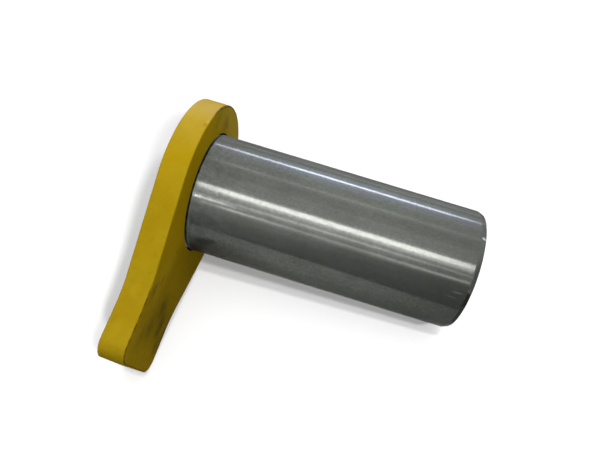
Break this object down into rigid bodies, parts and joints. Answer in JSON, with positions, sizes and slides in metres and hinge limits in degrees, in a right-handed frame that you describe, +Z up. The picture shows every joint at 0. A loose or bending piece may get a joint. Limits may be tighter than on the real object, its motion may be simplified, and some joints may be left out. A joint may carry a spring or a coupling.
{
  "type": "flagged excavator pin",
  "caption": "Round steel linkage pin welded through a yellow keyhole-shaped flag plate, whose tail keeps the pin from turning in the joint it holds.",
  "frame": {"origin": "pin axis at the plate's inner face", "axes": "+X from the plate toward the free end, along the floor under the pin, which itself dips to the floor; -Y toward the plate's tail; +Z up, square to the floor the part lies on"},
  "size_m": [0.2529, 0.228, 0.1491],
  "materials": {
    "ground_steel": "turned and ground, dull with handling marks",
    "yellow_paint": "satin machine paint, scuffed and dirty",
    "painted_weld": "paint over weld ripples"
  },
  "bodies": {
    "root": {"pin_shaft": "ground_steel", "flag_plate": "yellow_paint", "weld_bead": "painted_weld"}
  },
  "joints": []
}
